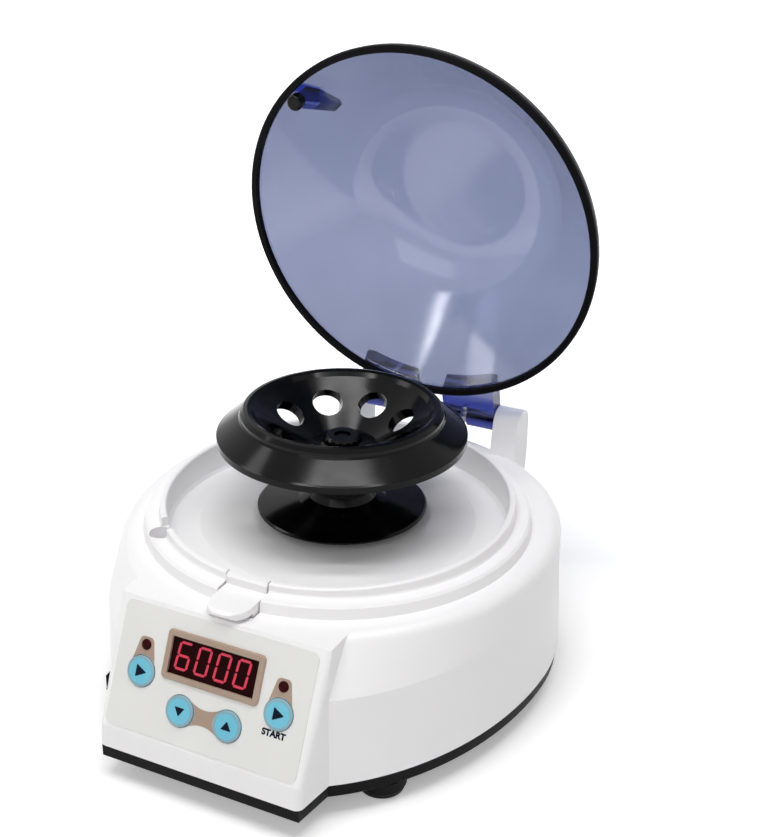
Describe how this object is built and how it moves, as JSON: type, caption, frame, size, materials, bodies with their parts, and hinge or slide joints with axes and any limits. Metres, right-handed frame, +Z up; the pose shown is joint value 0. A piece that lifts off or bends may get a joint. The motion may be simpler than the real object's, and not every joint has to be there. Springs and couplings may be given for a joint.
{
  "type": "mini centrifuge",
  "caption": "Bench mini centrifuge: drum body with a sloping key panel and display, spinning tube rotor, hinged clear domed lid, release lever and rubber feet.",
  "frame": {"origin": "middle of the bounding box on the surface it stands on, lid open", "axes": "+Z up along the rotor axis, -Y towards the control panel, +X to the user's right"},
  "size_m": [0.161, 0.2116, 0.2232],
  "materials": {
    "white_body": "smooth white moulded ABS",
    "black_base": "satin black moulding",
    "rubber_black": "soft matte black",
    "steel": "plain zinc or bare steel",
    "brass_post": "machined",
    "aluminium": "turned",
    "rotor_black": "polished black moulding",
    "clear_blue": "clear tinted polycarbonate",
    "key_blue": "sky blue, slight gloss",
    "overlay_grey": "fine matte printed film",
    "taupe_frame": "satin",
    "display_dark": "dark red filter",
    "lamp_red": "unlit red lamp",
    "board_green": "solder mask"
  },
  "bodies": {
    "base": {"upper_housing": "white_body", "base_plate": "black_base", "rubber_feet": "rubber_black", "housing_screws": "steel", "motor": "steel", "motor_plate": "steel", "motor_standoffs": "brass_post", "mount_grommets": "rubber_black", "plate_screws": "steel", "motor_screws": "steel", "spindle_shroud": "rotor_black", "control_board": "board_green", "board_screws": "steel", "tact_switches": "rotor_black", "display_module": "display_dark", "display_bezel": "taupe_frame", "display_window": "display_dark", "panel_overlay": "overlay_grey", "indicator_leds": "lamp_red", "latch_pin": "steel", "lid_sensor": "rotor_black", "hinge_pin": "steel", "dc_jack": "rotor_black", "jack_nut": "steel", "rocker_frame": "rotor_black"},
    "lid": {"lid_dome": "clear_blue", "lid_edge_seal": "rubber_black", "interlock_tip": "rotor_black"},
    "rotor_set": {"rotor": "rotor_black", "rotor_nut": "rotor_black", "spindle": "aluminium", "motor_shaft": "steel"},
    "lever": {"latch_lever": "white_body"},
    "rocker": {"power_rocker": "rotor_black"},
    "pulse_key": {"key_pulse": "key_blue"},
    "start_key": {"key_start": "key_blue"},
    "down_key": {"key_down": "key_blue"},
    "up_key": {"key_up": "key_blue"}
  },
  "joints": [
    {"name": "lid_hinge", "type": "hinge", "parent": "base", "child": "lid", "pos_m": [0, 0.0748, 0.0729], "axis": [1, 0, 0], "range_deg": [-6, 80.6]},
    {"name": "rotor_spin", "type": "hinge", "parent": "base", "child": "rotor_set", "pos_m": [0, -0.004, 0.09], "axis": [0, 0, 1], "continuous": true},
    {"name": "latch_press", "type": "hinge", "parent": "base", "child": "lever", "pos_m": [0, -0.0776, 0.059], "axis": [1, 0, 0], "range_deg": [0, 5], "stiffness_Nm_per_rad": 0.5, "springref_deg": -2.86},
    {"name": "power_switch", "type": "hinge", "parent": "base", "child": "rocker", "pos_m": [-0.03838, -0.09414, 0.0296], "axis": [0.1338, -0.991, 0], "range_deg": [0, 18]},
    {"name": "pulse_press", "type": "slide", "parent": "base", "child": "pulse_key", "axis": [0, 0.909, -0.4168], "range_m": [0, 0.0004], "stiffness_N_per_m": 900, "springref_m": -0.0003},
    {"name": "start_press", "type": "slide", "parent": "base", "child": "start_key", "axis": [0, 0.909, -0.4168], "range_m": [0, 0.0004], "stiffness_N_per_m": 900, "springref_m": -0.0003},
    {"name": "down_press", "type": "slide", "parent": "base", "child": "down_key", "axis": [0, 0.909, -0.4168], "range_m": [0, 0.0004], "stiffness_N_per_m": 900, "springref_m": -0.0003},
    {"name": "up_press", "type": "slide", "parent": "base", "child": "up_key", "axis": [0, 0.909, -0.4168], "range_m": [0, 0.0004], "stiffness_N_per_m": 900, "springref_m": -0.0003}
  ]
}
